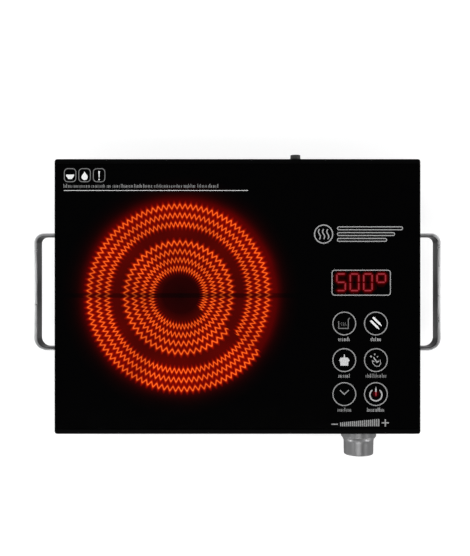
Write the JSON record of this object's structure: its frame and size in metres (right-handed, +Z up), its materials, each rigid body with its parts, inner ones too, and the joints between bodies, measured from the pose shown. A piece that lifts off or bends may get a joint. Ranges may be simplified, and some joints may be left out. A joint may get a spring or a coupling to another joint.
{
  "type": "ceramic-glass hot plate",
  "caption": "Free-standing radiant cooking plate: black ceramic glass over a ribbon heater, touch keys with lit display, front control knob, steel strip handles and rubber feet.",
  "frame": {"origin": "middle of the whole footprint, knob and cord gland included, on the surface the feet stand on", "axes": "+X to the user's right, -Y towards the user (the knob's side), +Z up"},
  "size_m": [0.412, 0.3112, 0.0682],
  "materials": {
    "black_glass": "polished, black ceramic glass",
    "silicone": "matt",
    "frame_black": "satin",
    "case_black": "fine grain",
    "foot_rubber": "matt",
    "screw_steel": "plated",
    "handle_steel": "polished",
    "knob_silver": "satin",
    "dish_steel": "plain sheet",
    "insulation": "fibrous, matt",
    "heating_alloy": "glowing red",
    "quartz_tube": "clear",
    "white_ceramic": "unglazed",
    "spring_steel": "plain sheet",
    "fan_plastic": "moulded",
    "copper_wire": "enamelled",
    "power_laminate": "printed board",
    "control_laminate": "printed board",
    "sink_aluminium": "extruded",
    "chip_black": "moulded",
    "relay_blue": "moulded",
    "tape_yellow": "taped winding",
    "capacitor_yellow": "moulded",
    "capacitor_blue": "sleeved can",
    "fuse_glass": "clear",
    "terminal_white": "moulded",
    "display_black": "moulded",
    "touch_brass": "plated spring wire",
    "led_red": "lit lens",
    "encoder_metal": "die cast",
    "shaft_steel": "turned",
    "wire_brown": "insulated wire",
    "wire_sleeve": "glass-fibre sleeve",
    "ribbon_grey": "flat cable",
    "gland_black": "moulded"
  },
  "bodies": {
    "base": {"glass_plate": "black_glass", "glass_seal": "silicone", "bezel_frame": "frame_black", "housing": "case_black", "bottom_cover": "case_black", "foot_front_left": "foot_rubber", "foot_front_right": "foot_rubber", "foot_rear_left": "foot_rubber", "foot_rear_right": "foot_rubber", "cover_screws": "screw_steel", "left_handle": "handle_steel", "right_handle": "handle_steel", "handle_screws": "screw_steel", "heater_dish": "dish_steel", "insulation_disc": "insulation", "insulation_ring": "insulation", "outer_ribbon": "heating_alloy", "inner_ribbon": "heating_alloy", "limiter_rod": "quartz_tube", "limiter_switch": "white_ceramic", "heater_terminal": "white_ceramic", "heater_spring_front": "spring_steel", "heater_spring_rear": "spring_steel", "heater_spring_left": "spring_steel", "fan_frame": "fan_plastic", "fan_winding": "copper_wire", "fan_screws": "screw_steel", "power_board": "power_laminate", "heat_sink": "sink_aluminium", "triac": "chip_black", "relay": "relay_blue", "transformer": "tape_yellow", "filter_capacitor": "capacitor_yellow", "electrolytic_capacitors": "capacitor_blue", "fuse": "fuse_glass", "buzzer": "chip_black", "mains_terminal": "terminal_white", "board_screws": "screw_steel", "board_holder": "fan_plastic", "holder_screws": "screw_steel", "control_board": "control_laminate", "controller_chip": "chip_black", "display_module": "display_black", "touch_springs": "touch_brass", "power_led": "led_red", "encoder_board": "control_laminate", "encoder_body": "encoder_metal", "encoder_nut": "screw_steel", "cord_gland": "gland_black", "cord_clamp": "terminal_white", "mains_leads": "wire_brown", "heater_leads": "wire_sleeve", "control_ribbon": "ribbon_grey", "encoder_ribbon": "ribbon_grey"},
    "knob": {"control_knob": "knob_silver", "encoder_shaft": "shaft_steel"},
    "fan": {"fan_rotor": "fan_plastic"}
  },
  "joints": [
    {"name": "knob_turn", "type": "hinge", "parent": "base", "child": "knob", "pos_m": [0.1256, -0.1319, 0.038], "axis": [0, -1, 0], "continuous": true},
    {"name": "fan_spin", "type": "hinge", "parent": "base", "child": "fan", "pos_m": [0.114, 0.0821, 0.02], "axis": [0, 0, 1], "continuous": true}
  ]
}
